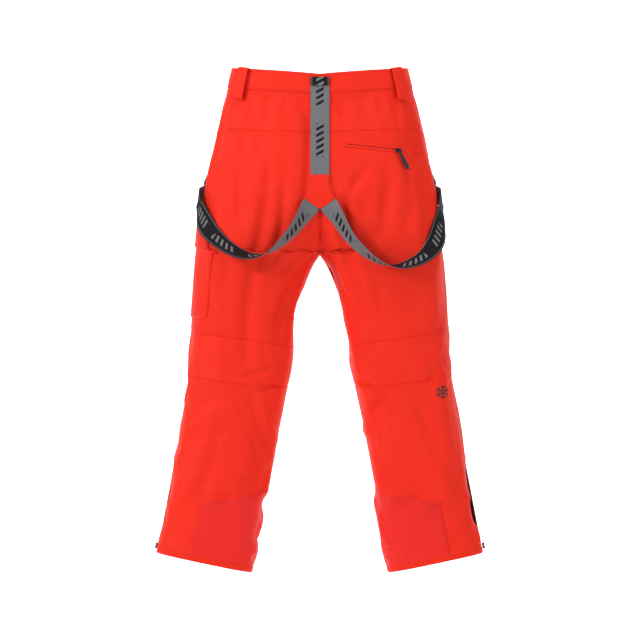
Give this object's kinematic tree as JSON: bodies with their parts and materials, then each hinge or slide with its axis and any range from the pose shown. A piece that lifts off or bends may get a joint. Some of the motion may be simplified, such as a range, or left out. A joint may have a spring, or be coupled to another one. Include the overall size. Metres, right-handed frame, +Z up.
{
  "type": "ski pants",
  "caption": "Insulated ski pants with webbing braces, zipped pockets, hem zips, snow gaiters and a snapped waist tab.",
  "frame": {"origin": "centre of the waist opening, level with the highest point of its top edge", "axes": "+Z up, +Y towards the front of the wearer, +X towards the wearer's right leg"},
  "size_m": [0.6906, 0.2671, 1.0498],
  "materials": {
    "shell_cloth": "orange-red woven shell with a soft matt sheen",
    "guard_cloth": "slightly deeper red, close tough weave",
    "lining_cloth": "dark red brushed lining",
    "gaiter_cloth": "black coated cloth",
    "webbing": "mid grey woven webbing",
    "dark_webbing": "black woven webbing",
    "zip_cloth": "dark red tape and teeth",
    "zip_metal": "satin black",
    "dark_plastic": "matt black"
  },
  "bodies": {
    "garment": {"back_knee_left": "shell_cloth", "back_knee_right": "shell_cloth", "back_pocket_bag": "lining_cloth", "back_pocket_garage": "shell_cloth", "back_pocket_teeth": "zip_cloth", "back_pocket_welt": "shell_cloth", "back_shin_left": "shell_cloth", "back_shin_right": "shell_cloth", "back_thigh_left": "shell_cloth", "back_thigh_right": "shell_cloth", "back_yoke_left": "shell_cloth", "back_yoke_right": "shell_cloth", "belt_loop_back_left": "shell_cloth", "belt_loop_back_right": "shell_cloth", "belt_loop_front_left": "shell_cloth", "belt_loop_front_right": "shell_cloth", "brace_back_end": "dark_webbing", "brace_back_strap": "webbing", "brace_strap_left": "webbing", "brace_strap_right": "webbing", "brace_yoke": "shell_cloth", "fly_zip": "zip_cloth", "front_knee_left": "shell_cloth", "front_knee_right": "shell_cloth", "front_shin_left": "shell_cloth", "front_shin_right": "shell_cloth", "front_thigh_left": "shell_cloth", "front_thigh_right": "shell_cloth", "hand_pocket_zip_left": "shell_cloth", "hand_pocket_zip_right": "shell_cloth", "hem_band_left": "shell_cloth", "hem_band_right": "shell_cloth", "leg_zip_left": "zip_cloth", "leg_zip_right": "zip_cloth", "lining_left": "lining_cloth", "lining_right": "lining_cloth", "scuff_guard_left": "guard_cloth", "scuff_guard_right": "guard_cloth", "snap_stud": "zip_metal", "snow_gaiter_left": "gaiter_cloth", "snow_gaiter_right": "gaiter_cloth", "thigh_pocket": "shell_cloth", "waistband_back": "shell_cloth", "waistband_facing": "lining_cloth", "waistband_front_left": "shell_cloth", "waistband_front_right": "shell_cloth"},
    "back_pocket_slider": {"back_pocket_slider": "zip_metal"},
    "back_pocket_pull": {"back_pocket_pull": "dark_plastic"},
    "fly_slider": {"fly_slider": "zip_metal"},
    "hand_pocket_slider_left": {"hand_pocket_slider_left": "zip_metal"},
    "hand_pocket_slider_right": {"hand_pocket_slider_right": "zip_metal"},
    "leg_zip_slider_left": {"leg_zip_slider_left": "zip_metal"},
    "leg_zip_pull_left": {"leg_zip_pull_left": "dark_plastic"},
    "leg_zip_slider_right": {"leg_zip_slider_right": "zip_metal"},
    "leg_zip_pull_right": {"leg_zip_pull_right": "dark_plastic"},
    "brace_adjuster_left": {"brace_adjuster_left": "dark_plastic"},
    "brace_adjuster_right": {"brace_adjuster_right": "dark_plastic"},
    "waist_tab": {"waist_tab": "shell_cloth", "snap_cap": "zip_metal"},
    "thigh_flap": {"thigh_flap": "shell_cloth"}
  },
  "joints": [
    {"name": "back_pocket_zip_run", "type": "slide", "parent": "garment", "child": "back_pocket_slider", "axis": [-0.9847, -0.1436, 0.0985], "range_m": [0, 0.098]},
    {"name": "back_pocket_pull_swing", "type": "hinge", "parent": "back_pocket_slider", "child": "back_pocket_pull", "pos_m": [0.16276, -0.10838, -0.17584], "axis": [-0.9847, -0.1436, 0.0985], "range_deg": [0, 150]},
    {"name": "fly_zip_run", "type": "slide", "parent": "garment", "child": "fly_slider", "axis": [0, 0.0662, -0.9978], "range_m": [0, 0.135]},
    {"name": "hand_zip_run_left", "type": "slide", "parent": "garment", "child": "hand_pocket_slider_left", "axis": [-0.1824, 0.0509, -0.9819], "range_m": [0, 0.124]},
    {"name": "hand_zip_run_right", "type": "slide", "parent": "garment", "child": "hand_pocket_slider_right", "axis": [0.1824, 0.0509, -0.9819], "range_m": [0, 0.124]},
    {"name": "leg_zip_run_left", "type": "slide", "parent": "garment", "child": "leg_zip_slider_left", "axis": [0.187, 0, 0.9824], "range_m": [0, 0.175]},
    {"name": "leg_zip_pull_swing_left", "type": "hinge", "parent": "leg_zip_slider_left", "child": "leg_zip_pull_left", "pos_m": [-0.34004, 0, -0.98214], "axis": [0, 1, 0], "range_deg": [0, 150]},
    {"name": "leg_zip_run_right", "type": "slide", "parent": "garment", "child": "leg_zip_slider_right", "axis": [-0.187, 0, 0.9824], "range_m": [0, 0.175]},
    {"name": "leg_zip_pull_swing_right", "type": "hinge", "parent": "leg_zip_slider_right", "child": "leg_zip_pull_right", "pos_m": [0.34004, 0, -0.98214], "axis": [0, -1, 0], "range_deg": [0, 150]},
    {"name": "adjuster_run_left", "type": "slide", "parent": "garment", "child": "brace_adjuster_left", "axis": [0.6249, 0.1168, 0.7719], "range_m": [0, 0.06]},
    {"name": "adjuster_run_right", "type": "slide", "parent": "garment", "child": "brace_adjuster_right", "axis": [-0.6249, 0.1168, 0.7719], "range_m": [0, 0.06]},
    {"name": "waist_tab_open", "type": "hinge", "parent": "garment", "child": "waist_tab", "pos_m": [0.034, 0.09598, -0.0515], "axis": [0, 0, -1], "range_deg": [0, 150]},
    {"name": "thigh_flap_lift", "type": "hinge", "parent": "garment", "child": "thigh_flap", "pos_m": [-0.2569, 0, -0.32277], "axis": [0, 0.9949, 0.1007], "range_deg": [0, 80]}
  ]
}
